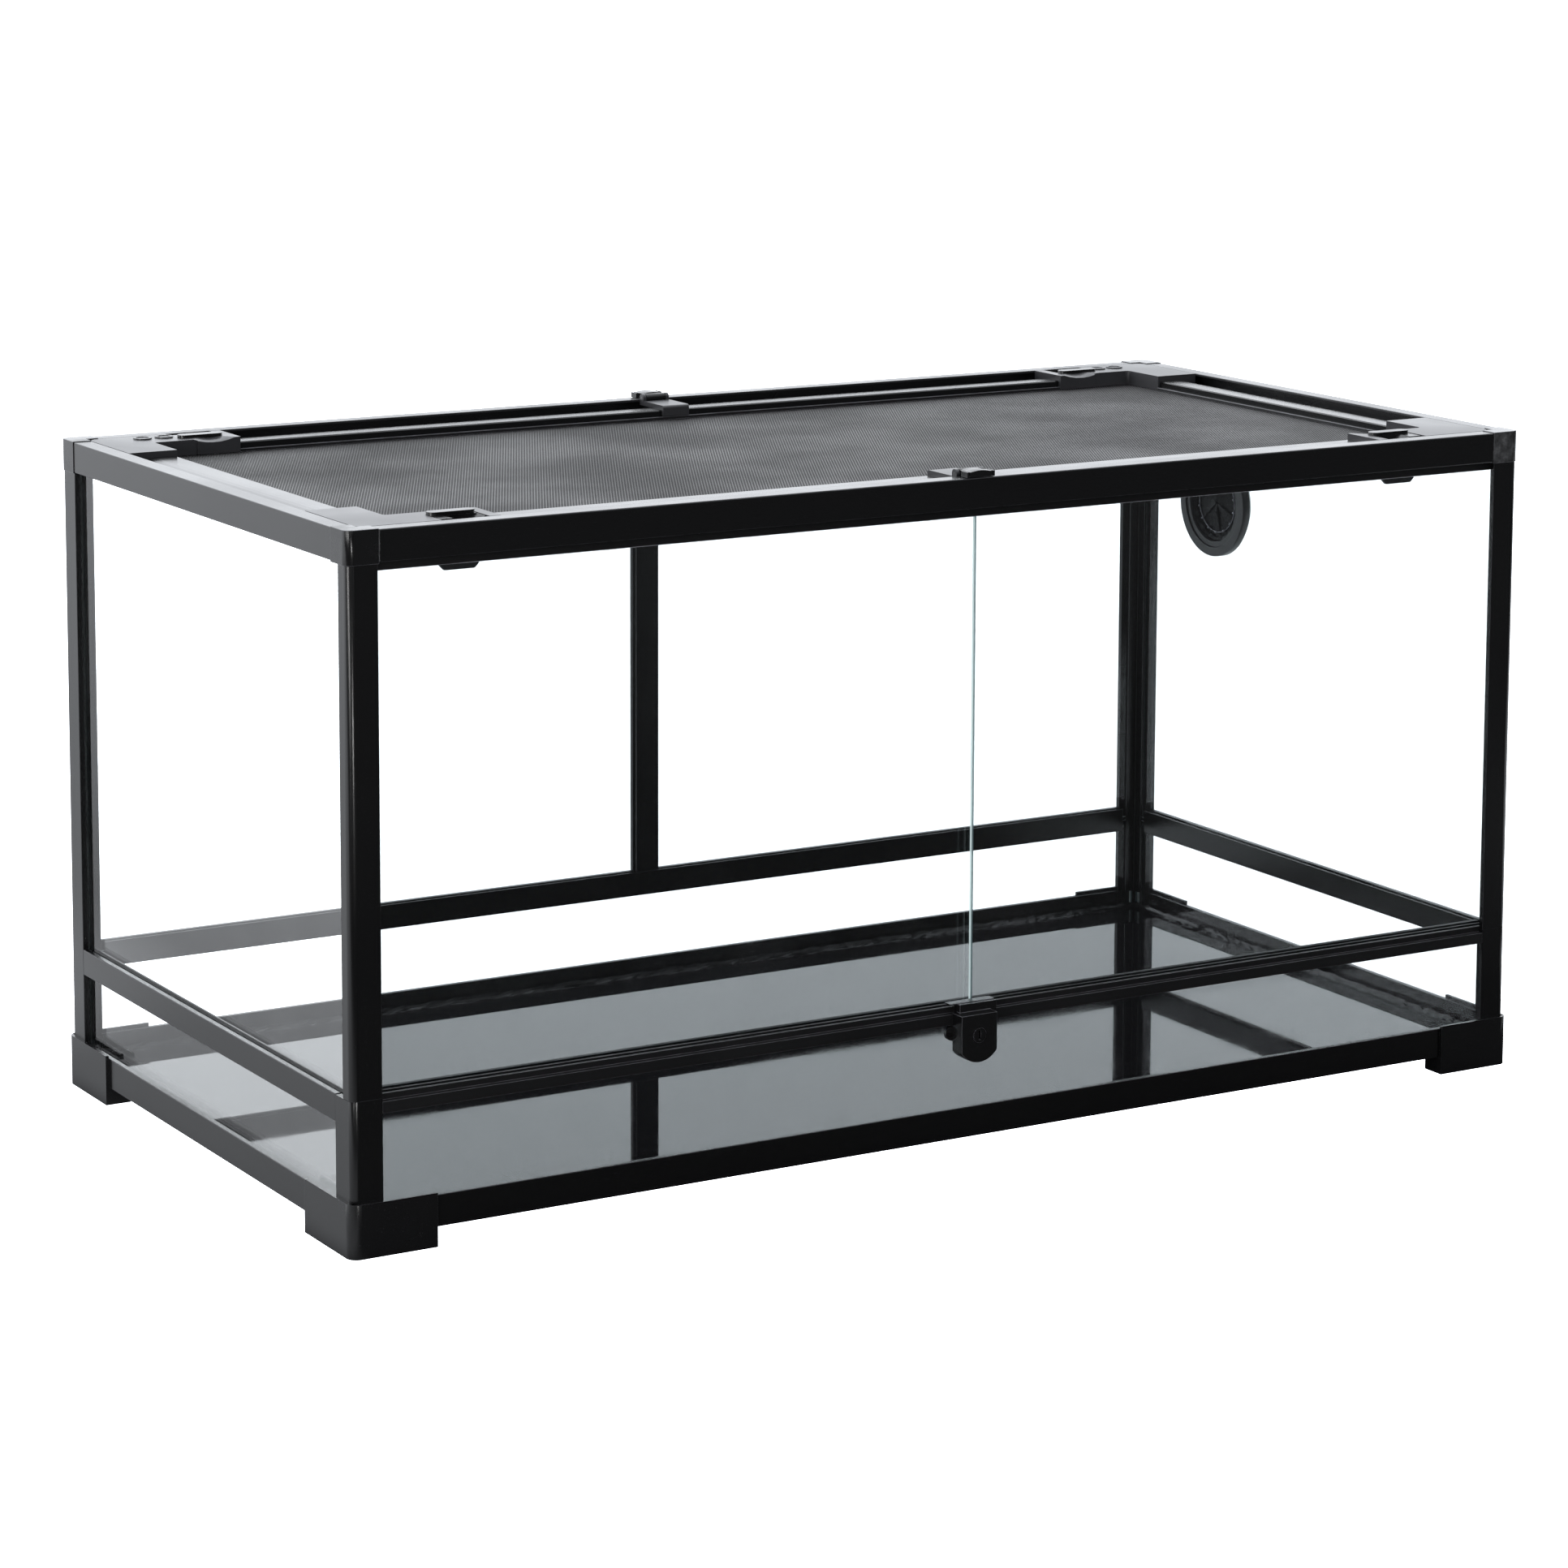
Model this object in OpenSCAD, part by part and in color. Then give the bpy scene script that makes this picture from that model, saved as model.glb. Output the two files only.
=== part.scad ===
// Glass reptile terrarium: black rail frame on four corner feet, raised glass base, two
// sliding front doors with a key lock, a side cable port and a lift-off mesh lid.
// Corner coordinates: x runs along the front from the left, y runs back from the front, z up.

/* [Frame] */
// Width over the outer faces of the posts
frame_w = 914; // [700:1:1200]
// Depth over the outer faces of the posts
frame_d = 464; // [400:1:600]
// Height of the top of the top rails above the floor
frame_h = 461; // [380:1:700]
// Thickness of the outer wall of every rail and post
wall = 4; // [3:0.1:5]
// Outer corner radius of posts and connectors
corner_r = 5; // [2:0.5:6]
// Width of the posts as seen from the front and back
post_w = 21.3; // [18:0.1:30]
// Depth of the side flange of the upper front posts
front_post_d = 13; // [12:0.5:18]
// Depth of the side flange of the lower front posts
low_post_d = 24; // [22:0.5:30]
// Depth of the side flange of the back posts
back_post_d = 23; // [20:0.5:30]

/* [Base] */
// Height of the underside of the base rails above the floor
base_z = 12.4; // [8:0.2:20]
// Height of the base rails
base_h = 21; // [18:0.5:40]
// Thickness of the ledge that carries the floor pane
ledge_t = 3; // [2:0.5:4]
// How far the feet stand proud of the rails
foot_proud = 2.4; // [1:0.2:4]
// Height of the foot skin
foot_h = 35.4; // [30:0.2:38]
// Length of the foot along the front or back
foot_x = 58; // [40:1:90]
// Length of the foot along the side
foot_y = 67; // [40:1:90]
// Width of the part of a foot that lies under the rail
foot_under = 16; // [10:0.5:24]
// Depth of the hollow in the underside of a foot
foot_hollow = 8; // [4:0.5:9]

/* [Mid rails] */
// Height of the underside of the mid rails
mid_z = 83.5; // [70:0.5:160]
// Height of the mid rails
mid_h = 18; // [14:0.5:24]
// Width of the upright in the middle of the back
mullion_w = 19; // [14:0.5:30]
// Offset of that upright from the middle
mullion_off = 2; // [-20:0.5:20]

/* [Glass] */
// Thickness of the wall panes
glass_t = 4; // [3:0.5:5]
// Thickness of the floor pane
floor_t = 5; // [4:0.5:6]
// Thickness of the doors
door_t = 4; // [3:0.5:5]
// Overlap of the two doors at the middle
door_lap = 4.5; // [2:0.5:20]
// Offset of the meeting edge of the doors from the middle
door_off = 5.5; // [-20:0.5:20]
// Clearance between a pane and the channel around it
pane_gap = 0.3; // [0.1:0.1:0.6]

/* [Door tracks] */
// Height of the step in front of the lower track
step_h = 7.5; // [5:0.5:10]
// Depth of that step
step_d = 4.6; // [4.4:0.1:8]
// Height of the whole lower track
track_h = 11.5; // [10:0.5:16]
// Thickness of the outer walls of the tracks
track_wall = 2.6; // [1.6:0.1:3]
// Depth of the grooves in the lower track
groove_low = 8; // [4:0.5:9]
// How far the upper track reaches below the top rail
track_drop = 5.7; // [4:0.1:9]

/* [Top] */
// Height of the top rails
top_h = 21; // [18:0.5:30]
// Width of the lip on top of the rails
lip_w = 13; // [8:0.5:14]
// Thickness of that lip
lip_t = 2; // [1.5:0.1:3]
// Depth of the shelf for the lid below the top
shelf_drop = 13; // [12:0.5:14]
// Thickness of that shelf
shelf_t = 2; // [1.5:0.1:2.4]
// Width of the shelf, which is also the arm length of the corner connectors
shelf_w = 22; // [20:0.5:24]
// How far the connectors stand proud of the rails
cap_proud = 0.6; // [0.2:0.1:1]

/* [Lid] */
// Distance of the lid corners from the outer face of the frame
lid_in = 13.5; // [13.5:0.1:16]
// Distance of the lid rails from the outer face of the frame
lid_rail_in = 21; // [18:0.5:21.5]
// Width of the lid rails
lid_rail_w = 26; // [20:0.5:32]
// Depth of the lid rails below the top of the frame
lid_drop = 4; // [3:0.5:5]
// Gap under the lid
lid_gap = 0.3; // [0.1:0.1:0.6]
// End of the long arm of a lid corner, from the outer face of the frame
arm_x = 113; // [100:1:150]
// End of the short arm of a lid corner, from the outer face of the frame
arm_y = 89; // [60:1:120]
// Width of the inner ridge that holds the mesh
spline_w = 2.4; // [1.5:0.1:3]
// Thickness of the mesh sheet
mesh_t = 0.6; // [0.4:0.1:1]
// Number of openings in the mesh along the front, of plain size
mesh_cells_x = 12; // [4:1:12]
// Number of openings in the mesh along the side
mesh_cells_y = 6; // [2:1:12]
// Middle of the slide button, from the outer side face of the frame
button_x = 88.5; // [86:0.5:92]
// Length of the slide button
button_l = 33; // [24:1:34]
// Distance of the raised bar of the slide button from the outer face of the frame
bar_in = 31; // [28:0.5:32]
// Width of that bar
bar_w = 9; // [5:0.5:9]
// Height of that bar over the lid corner
bar_h = 2; // [1:0.1:3]
// Travel of the slide button
button_travel = 4.5; // [3:0.5:5]
// Length of the locating leg under a lid corner
leg_l = 21; // [10:0.5:30]
// Width of that leg
leg_w = 27; // [15:1:32]

/* [Lid clips] */
// Width of a clip
clip_w = 21.6; // [18:0.2:30]
// Offset of the clips from the middle
clip_off = 4.4; // [-20:0.2:20]
// Thickness of the clip arm under the hinge
clip_t = 2; // [1.5:0.1:2.5]
// Thickness of the clip arm over the lid rail
clip_arm_t = 3.4; // [2.5:0.1:4]
// Outer radius of the hinge barrel
barrel_r = 3; // [2.5:0.1:3.5]
// Radius of the hinge pin
pin_r = 1.2; // [0.8:0.1:1.5]
// Running clearance around the pin
pin_gap = 0.05; // [0.02:0.01:0.1]
// Height of the lever over the top rail
lever_h = 4.8; // [3:0.1:6]

/* [Lock] */
// Width of the lock body
lock_w = 28; // [24:0.5:40]
// How far the lock body stands in front of the frame
lock_d = 12; // [8:0.5:16]
// Depth of the lock body below the step of the track
lock_h = 33; // [28:0.5:40]
// Radius of the key cylinder
key_r = 5; // [4:0.1:6]
// How far the cylinder stands out of the lock body
key_out = 0.4; // [0.2:0.1:1]
// Depth of the key axis below the step of the track
key_drop = 13.3; // [12.5:0.1:16]
// Length of the cam from the key axis
cam_l = 18.6; // [10:0.1:22]
// Offset of the lock from the middle
lock_off = -0.5; // [-20:0.5:20]
// Offset of the saddle over the track from the key axis
saddle_off = 4.5; // [0:0.5:6]

/* [Cable port] */
// Radius of the hole in the pane
port_hole_r = 34.5; // [26:0.5:38]
// How far the flanges of the port reach past the hole
port_flange = 6.9; // [3:0.1:9]
// Thickness of the sleeve in the hole
port_wall = 4.1; // [2:0.1:5]
// Distance of the port from the back of the frame
port_y = 117.5; // [80:0.5:160]
// Depth of the port below the top of the frame
port_drop = 97.5; // [80:0.5:160]
// How far the flange stands into the tank
port_in = 8.6; // [5:0.1:14]
// Number of slits in the membrane
slit_count = 6; // [4:1:12]

/* [Hidden] */
$fn = 64;

eps = 0.01;                                  // overlap of cutting solids
frame_col = [0.05, 0.05, 0.055];
plastic_col = [0.07, 0.07, 0.075];
glass_col = [0.75, 0.88, 0.86, 0.35];
steel_col = [0.7, 0.7, 0.72];

lock_out = lock_d + key_out;
front_y = -(frame_d + foot_proud - lock_out) / 2;    // puts the origin under the middle of the box

base_top = base_z + base_h;
floor_z = base_z + ledge_t;
floor_top = floor_z + floor_t;
mid_top = mid_z + mid_h;
top_z = frame_h - top_h;
shelf_z = frame_h - shelf_drop;
lip_z = frame_h - lip_t;

pane_in = wall + pane_gap;                   // outer face of the wall panes
fin_in = pane_in + glass_t + pane_gap;       // outer face of the inner fins
fin_t = 1.4;                                 // thickness of the inner fins
fin_l = 18;                                  // reach of the inner fins from the outer face
column = fin_in + fin_t;                     // solid column in the corner of a post
pane_end = column + pane_gap;                // edge of the panes at a corner
web_t = 2.4;                                 // web between a lower and an upper pane
web_z = mid_z + (mid_h - web_t) / 2;
pane_top_z = shelf_z - shelf_t - pane_gap;
mullion_x = frame_w / 2 + mullion_off;

track_top = mid_z + 8 + track_h;             // the track stands 8 mm above the mid rail's underside
track_z = track_top - track_h;
step_z = track_z + step_h;
slot_w = door_t + 2 * pane_gap;              // width of a door groove
slot1 = step_d + track_wall;                 // front groove, right door
slot2 = slot1 + slot_w + 2;                  // rear groove, left door
track_end = column + 0.4;                    // end of the tracks, from the side
track_back = shelf_w;
groove_top = shelf_z - shelf_t - 1;
lip_under = top_z - track_drop;
door_z = track_top - groove_low + pane_gap;
door_top = groove_top - 4;                   // lift-out play over the doors
door_end = track_end + 1;
meet_x = frame_w / 2 + door_off;

lid_z = shelf_z + lid_gap;
lid_top = frame_h - lid_drop;
mesh_z = lid_z + 1.1;
rebate_z = mesh_z + mesh_t + 0.2;            // underside of what lies over the mesh
rebate_in = 38;                              // outer edge of the mesh rebate
lid_inner = lid_rail_in + lid_rail_w;
corner_inner = lid_inner + spline_w + 0.6;   // inner edge of the lid corners
corner_top = frame_h;
slot_floor = lid_z + 1.6;
dish_x = button_x + 5;                       // middle of the finger and thumb dishes
cover_x = [48.5, 64.5];                      // middles of the two round covers
cover_in = 28.5;
leg_in = shelf_w + 0.6;
leg_t = 2.8;

axis_in = lip_w + 0.3 + barrel_r;            // hinge axis of the clips, from the outer face
clip_z = lid_top;
axis_z = clip_z + clip_t + 0.3 + barrel_r;
knuckle_in = clip_w / 2 - 2.8;               // the middle knuckle ends here

key_x = frame_w / 2 + lock_off;
key_z = step_z - key_drop;
saddle_w = lock_w + 1;                       // the part of the lock body that sits on the track
saddle_z = track_top + 2.5;
port_z = frame_h - port_drop;
port_face = pane_in + glass_t;               // cabin side of the right pane, from its outer side
port_r = port_hole_r + port_flange;
sleeve_r = port_hole_r - 0.4;                // outer radius of the sleeve
port_bore = sleeve_r - port_wall;

// ---- placing -------------------------------------------------------------------------

// Puts corner coordinates in the part's frame; right and back mirror a piece to that side
module place(right = 0, back = 0)
    translate([-frame_w / 2 + right * frame_w, front_y + back * frame_d, 0])
        mirror([right, 0, 0]) mirror([0, back, 0]) children();

// A block from corner a to corner b
module block(a, b) translate(a) cube(b - a);

// Extrudes a profile of inset and height along x
module along_x(x0, x1) translate([x0, 0, 0]) rotate([90, 0, 90]) linear_extrude(x1 - x0) children();

// Extrudes a profile of inset and height along y
module along_y(y0, y1) translate([0, y1, 0]) rotate([90, 0, 0]) linear_extrude(y1 - y0) children();

// A flat rectangle from corner a to corner b
module flat(a, b) translate(a) square(b - a);

// A rectangle whose corner at the origin is rounded
module rounded_corner(size, r, o = 0) difference() {
    flat([-o, -o], size);
    difference() {
        flat([-o - 1, -o - 1], [r - o, r - o]);
        translate([r - o, r - o]) circle(r);
    }
}

// ---- profiles: inset from the outer face, height ---------------------------------------

module base_profile() {
    flat([0, base_z], [wall, base_top]);
    flat([0, base_z], [low_post_d, floor_z]);
}

module mid_profile() {
    flat([0, mid_z], [wall, mid_top]);
    flat([0, web_z], [fin_in + fin_t, web_z + web_t]);
    flat([fin_in, mid_z], [fin_in + fin_t, mid_top]);
}

module top_profile(fin = true) {
    flat([0, top_z], [wall, frame_h]);
    flat([0, lip_z], [lip_w, frame_h]);
    flat([0, shelf_z - shelf_t], [shelf_w, shelf_z]);
    if (fin) flat([fin_in, top_z], [fin_in + fin_t, shelf_z]);
}

module lid_profile() {
    crown_w = 15;
    crown_h = 4.2;
    edge = 0.8;
    crown_x = lid_rail_in + crown_w;
    polygon(concat(
        [[lid_rail_in, lid_z], [rebate_in, lid_z], [rebate_in, rebate_z], [lid_inner, rebate_z],
         [lid_inner, lid_top - edge], [lid_inner - edge, lid_top]],
        [for (a = [90:15:180]) [crown_x + crown_w * cos(a), lid_top - crown_h + crown_h * sin(a)]]));
}

// ---- base and feet ---------------------------------------------------------------------

module base_rail_x(back) color(frame_col) place(0, back)
    along_x(post_w, frame_w - post_w) base_profile();

module base_rail_y(right) color(frame_col) place(right, 0)
    along_y(low_post_d, frame_d - low_post_d) base_profile();

// Skin around the corner, block under the rails and corner core in one moulding
module foot(right, back) color(plastic_col) place(right, back) {
    difference() {
        union() {
            linear_extrude(base_z) foot_plan(foot_under);
            linear_extrude(foot_h) foot_plan(0);
        }
        translate([0, 0, -eps]) linear_extrude(foot_hollow) difference() {
            flat([0, 0], [foot_x - foot_proud, foot_under - foot_proud]);
            flat([foot_under - foot_proud, -1], [foot_under, foot_under]);
        }
        translate([0, 0, -eps]) linear_extrude(foot_hollow)
            flat([0, foot_under], [foot_under - foot_proud, foot_y - foot_proud]);
    }
    translate([0, 0, base_z]) linear_extrude(ledge_t) rounded_corner([post_w, low_post_d], corner_r);
    translate([0, 0, base_z]) linear_extrude(base_h) post_plan(post_w, low_post_d, false, false);
}

// L-shaped plan of a foot that reaches inward past the outer faces
module foot_plan(inward) difference() {
    rounded_corner([foot_x, foot_y], corner_r + foot_proud, foot_proud);
    flat([inward, inward], [foot_x + 1, foot_y + 1]);
    if (inward == 0) {
        flat([corner_r, 0], [foot_x + 1, foot_y + 1]);
        flat([0, corner_r], [foot_x + 1, foot_y + 1]);
        translate([corner_r, corner_r]) circle(corner_r);
    }
}

// ---- posts -----------------------------------------------------------------------------

// Plan of a post: two flanges with a rounded corner and, inside, a column and glass fins
module post_plan(w, d, fin_x = true, fin_y = true) {
    intersection() {
        rounded_corner([max(w, column), max(d, column)], corner_r);
        union() {
            flat([0, 0], [w, wall]);
            flat([0, 0], [wall, d]);
            if (fin_x || fin_y) flat([0, 0], [column, column]);
        }
    }
    if (fin_x) flat([fin_in, fin_in], [fin_l, column]);
    if (fin_y) flat([fin_in, fin_in], [column, fin_l]);
}

module lower_post(right) color(frame_col) place(right, 0) {
    translate([0, 0, base_top]) linear_extrude(track_z - pane_gap - base_top)
        post_plan(post_w, low_post_d);
    translate([0, 0, track_z - pane_gap - 1]) linear_extrude(mid_top - track_z + pane_gap + 1 - 0.5)
        intersection() {
            post_plan(post_w, low_post_d, false, false);
            flat([0, 0], [post_w, low_post_d]);
        }
}

module front_post(right) color(frame_col) place(right, 0)
    translate([0, 0, mid_top - 0.5]) linear_extrude(top_z - cap_proud - mid_top + 0.5)
        post_plan(post_w, front_post_d, false, true);

module back_post(right) color(frame_col) place(right, 1)
    translate([0, 0, base_top]) linear_extrude(top_z - cap_proud - base_top)
        post_plan(post_w, back_post_d);

// ---- mid rails, tracks and top rails -----------------------------------------------------

module mid_rail_y(right) color(frame_col) place(right, 0)
    along_y(low_post_d, frame_d - back_post_d) mid_profile();

module mid_rail_back() color(frame_col) place(0, 1)
    along_x(post_w, frame_w - post_w) mid_profile();

module back_mullion() color(frame_col) place(0, 1)
    translate([mullion_x, 0, mid_top]) linear_extrude(top_z - mid_top) {
        flat([-mullion_w / 2, 0], [mullion_w / 2, wall]);
        flat([-web_t / 2, 0], [web_t / 2, fin_in + fin_t]);
        flat([-mullion_w / 2, fin_in], [mullion_w / 2, fin_in + fin_t]);
    }

module lower_door_track() color(frame_col) place() difference() {
    union() {
        block([post_w, 0, track_z], [frame_w - post_w, step_d + eps, step_z]);
        block([track_end, wall + 0.4, track_z], [frame_w - track_end, step_d + eps, step_z]);
        block([track_end, step_d, track_z], [frame_w - track_end, track_back, track_top]);
    }
    block([0, pane_in - pane_gap, track_z - eps], [frame_w, fin_in, web_z + web_t]);
    for (s = [slot1, slot2])
        block([0, s, track_top - groove_low], [frame_w, s + slot_w, track_top + eps]);
}

module upper_door_track() color(frame_col) place() difference() {
    union() {
        block([track_end, step_d, lip_under], [frame_w - track_end, track_back, shelf_z - shelf_t]);
        block([shelf_w, wall, groove_top - 1], [frame_w - shelf_w, step_d + eps, shelf_z - shelf_t]);
    }
    for (s = [slot1, slot2])
        block([0, s, lip_under - eps], [frame_w, s + slot_w, groove_top]);
}

module top_rail_x(back) color(frame_col) place(0, back)
    along_x(shelf_w, frame_w - shelf_w) top_profile(back == 1);

module top_rail_y(right) color(frame_col) place(right, 0)
    along_y(shelf_w, frame_d - shelf_w) top_profile();

// Corner blocks that join the top rails and cap the posts
module top_connectors() color(plastic_col) for (right = [0, 1], back = [0, 1]) place(right, back) {
    lower = top_z - cap_proud;
    translate([0, 0, lower]) linear_extrude(shelf_z - lower) intersection() {
        rounded_corner([shelf_w, shelf_w], corner_r + cap_proud, cap_proud);
        union() {
            flat([-cap_proud, -cap_proud], [shelf_w, wall]);
            flat([-cap_proud, -cap_proud], [wall, shelf_w]);
            flat([-cap_proud, -cap_proud], [column, column]);
        }
    }
    translate([0, 0, shelf_z - shelf_t]) linear_extrude(shelf_t)
        rounded_corner([shelf_w, shelf_w], corner_r + cap_proud, cap_proud);
    translate([0, 0, shelf_z]) linear_extrude(frame_h + cap_proud - shelf_z) difference() {
        rounded_corner([shelf_w, shelf_w], corner_r + cap_proud, cap_proud);
        flat([lip_w, lip_w], [shelf_w + 1, shelf_w + 1]);
    }
}

// ---- panes -----------------------------------------------------------------------------

module floor_pane() color(glass_col) place()
    block([pane_in, pane_in, floor_z], [frame_w - pane_in, frame_d - pane_in, floor_top]);

module pane_x(back, x0, x1, z0, z1) color(glass_col) place(0, back)
    block([x0, pane_in, z0], [x1, pane_in + glass_t, z1]);

module pane_y(right, z0, z1) color(glass_col) place(right, 0)
    block([pane_in, pane_end, z0], [pane_in + glass_t, frame_d - pane_end, z1]);

module upper_pane_right() difference() {
    pane_y(1, web_z + web_t + pane_gap, pane_top_z);
    place(1, 1) translate([0, port_y, port_z]) rotate([0, 90, 0]) cylinder(r = port_hole_r, h = 2 * fin_in);
}

module door(x0, x1, slot) color(glass_col) place()
    block([x0, slot + pane_gap, door_z], [x1, slot + pane_gap + door_t, door_top]);

// ---- lock ------------------------------------------------------------------------------

module lock_body() color(plastic_col) place() translate([key_x, 0, 0]) difference() {
    union() {
        intersection() {
            block([-lock_w / 2, -lock_d, step_z + 1 - lock_h], [lock_w / 2, 0, step_z + 1]);
            union() {
                block([-lock_w, -lock_d, step_z + 1 - lock_h + 9], [lock_w, 0, step_z + 1]);
                translate([0, 0, step_z + 1 - lock_h + 17]) rotate([90, 0, 0])
                    cylinder(r = 17, h = lock_d);
            }
        }
        translate([saddle_off, 0, 0]) {
            block([-saddle_w / 2, -lock_d / 4, step_z], [saddle_w / 2, step_d - 0.2, saddle_z]);
            block([-saddle_w / 2, step_d - 1, track_top + 0.3], [saddle_w / 2, slot1 - 0.3, saddle_z]);
            block([-saddle_w / 2 - 6, 0, saddle_z - 0.3], [saddle_w / 2, slot1 - 0.3, saddle_z + 0.5]);
        }
    }
    translate([0, 1, key_z]) rotate([90, 0, 0]) cylinder(r = key_r + pin_gap, h = lock_d + 2);
}

module lock_cylinder() color(steel_col) place() translate([key_x, 0, key_z]) difference() {
    translate([0, 0.6, 0]) rotate([90, 0, 0]) cylinder(r = key_r, h = lock_out + 0.6);
    block([-0.7, -lock_out - eps, -3.2], [0.7, -lock_d / 2, 3.2]);
}

module lock_cam() color(steel_col) place() translate([key_x, 0.6, key_z]) {
    rotate([-90, 0, 0]) cylinder(r = key_r + 0.4, h = wall - 1);
    translate([key_r - cam_l, 0, 0]) rotate([-90, 0, 0]) cylinder(r = key_r, h = wall - 1);
    block([key_r - cam_l, 0, -key_r], [0, wall - 1, key_r]);
}

// ---- cable port --------------------------------------------------------------------------

// Turns a profile of radius and distance from the frame's side face about the port's axis
module about_port() place(1, 1) translate([0, port_y, port_z]) rotate([0, 90, 0])
    rotate_extrude() children();

// Flange and sleeve with a narrow groove between them
module port_ring() color(plastic_col) about_port() {
    groove_w = 0.3;
    rim_slope = 2.4;
    polygon([[sleeve_r + groove_w, port_face], [port_r - rim_slope, port_face],
             [port_r, port_face + rim_slope], [port_r, port_face + port_in],
             [sleeve_r + groove_w, port_face + port_in]]);
    flat([port_bore, pane_in + 0.4], [sleeve_r, port_face + port_in - 1.2]);
    flat([sleeve_r - 1, port_face], [sleeve_r + 1, port_face + port_in - 2.5]);
}

// Slit rubber disc with a stepped rim of short teeth
module port_membrane() color(plastic_col) {
    disc_z = port_face + 1;
    disc_t = 1.4;
    rim_h = 4;
    tooth_count = 12;
    difference() {
        about_port() flat([0, disc_z], [port_bore, disc_z + disc_t]);
        place(1, 1) translate([port_face, port_y, port_z]) for (i = [0:slit_count - 1])
            rotate([i * 360 / slit_count, 0, 0]) block([0, 1, -0.3], [4, port_bore - 6, 0.3]);
    }
    difference() {
        about_port() flat([port_bore - 2.5, disc_z], [port_bore, disc_z + rim_h]);
        place(1, 1) translate([disc_z, port_y, port_z]) for (i = [0:tooth_count - 1])
            rotate([i * 360 / tooth_count, 0, 0]) block([disc_t + 1, 0, -2], [rim_h + 1, port_bore + 1, 2]);
    }
}

// ---- lid -------------------------------------------------------------------------------

module lid_rail_x(back) color(frame_col) place(0, back)
    along_x(arm_x, frame_w - arm_x) lid_profile();

module lid_rail_y(right) color(frame_col) place(right, 0)
    along_y(arm_y, frame_d - arm_y) lid_profile();

// Plan of a lid corner: long arm with a wider pad at its end, short arm and inner fillet
module corner_plan() {
    pad_from = 81;
    pad_proud = 1.2;
    outer_r = 9;
    inner_r = 3;
    inner = corner_inner - pad_proud;
    difference() {
        translate([lid_in, lid_in]) rounded_corner([arm_x - lid_in, arm_y - lid_in], outer_r);
        translate([inner, inner]) rounded_corner([arm_x, arm_y], inner_r);
    }
    flat([pad_from, inner - 1], [arm_x, corner_inner]);
}

// Corner blocks of the lid with the pockets of the slide buttons and a thumb dish on the inner edge;
// the back ones carry two round covers
module lid_corners() color(plastic_col) for (right = [0, 1], back = [0, 1]) place(right, back) {
    dish_r = 50;
    dish_depth = 1.6;
    dish_tilt = 12;
    cover_r = 6.5;
    cover_h = 1;
    difference() {
        translate([0, 0, lid_z]) linear_extrude(corner_top - lid_z) corner_plan();
        block([rebate_in, rebate_in, lid_z - eps], [arm_x + 1, arm_y + 1, rebate_z]);
        translate([button_x, 0, slot_floor]) linear_extrude(frame_h) slider_plan(0, bar_in + bar_w, pane_gap);
        translate([dish_x, corner_inner, corner_top + dish_r - dish_depth]) rotate([90 - dish_tilt, 0, 0])
            cylinder(r = dish_r, h = lid_rail_w, center = true, $fn = 180);
    }
    translate([button_x, leg_in + leg_t, 0]) rotate([90, 0, 0]) linear_extrude(leg_t) leg_plan();
    if (back == 1) for (x = cover_x) translate([x, cover_in, corner_top - 1]) difference() {
        cylinder(r = cover_r, h = 1 + cover_h);
        translate([0, 0, 1 + cover_h / 2]) cylinder(r = cover_r - 2, h = cover_h);
    }
}

// Locating leg with chamfered lower corners
module leg_plan() {
    chamfer = 3;
    foot_z = lid_z - leg_l;
    polygon([[-leg_w / 2, lid_z + 1], [-leg_w / 2, foot_z + chamfer], [-leg_w / 2 + chamfer, foot_z],
             [leg_w / 2 - chamfer, foot_z], [leg_w / 2, foot_z + chamfer], [leg_w / 2, lid_z + 1]]);
}

// Plan of a slide button between two insets, with round inner corners
module slider_plan(from, to, gap = 0) {
    r = bar_w / 2 + gap;
    half = button_l / 2 + gap;
    flat([-half, from], [half, to + gap - r]);
    flat([r - half, from], [half - r, to + gap]);
    for (s = [-1, 1]) translate([s * (half - r), to + gap - r]) circle(r);
}

// Slide button: tongue, flush plate with a finger dish, and a raised bar along its inner side
module lid_button(right, back) color(plastic_col) place(right, back) {
    tongue_in = lid_in + 0.8;
    plate_in = lid_in + button_travel + 1;
    finger_r = 20;
    finger_depth = 4;
    bar_to = bar_in + bar_w;
    difference() {
        union() {
            translate([button_x, 0, slot_floor + 0.3]) linear_extrude(lip_z - 0.3 - slot_floor - 0.3)
                slider_plan(tongue_in, bar_to);
            translate([button_x, 0, lip_z - 0.5]) linear_extrude(corner_top - 0.4 - lip_z + 0.5)
                slider_plan(plate_in, bar_to);
        }
        translate([dish_x, -eps, corner_top - finger_depth + finger_r]) rotate([-90, 0, 0])
            cylinder(r = finger_r, h = bar_in, $fn = 120);
    }
    translate([button_x, bar_in + bar_w / 2, corner_top - 1]) linear_extrude(bar_h + 1) {
        square([button_l - bar_w, bar_w], center = true);
        for (s = [-1, 1]) translate([s * (button_l - bar_w) / 2, 0]) circle(bar_w / 2);
    }
}

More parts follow.
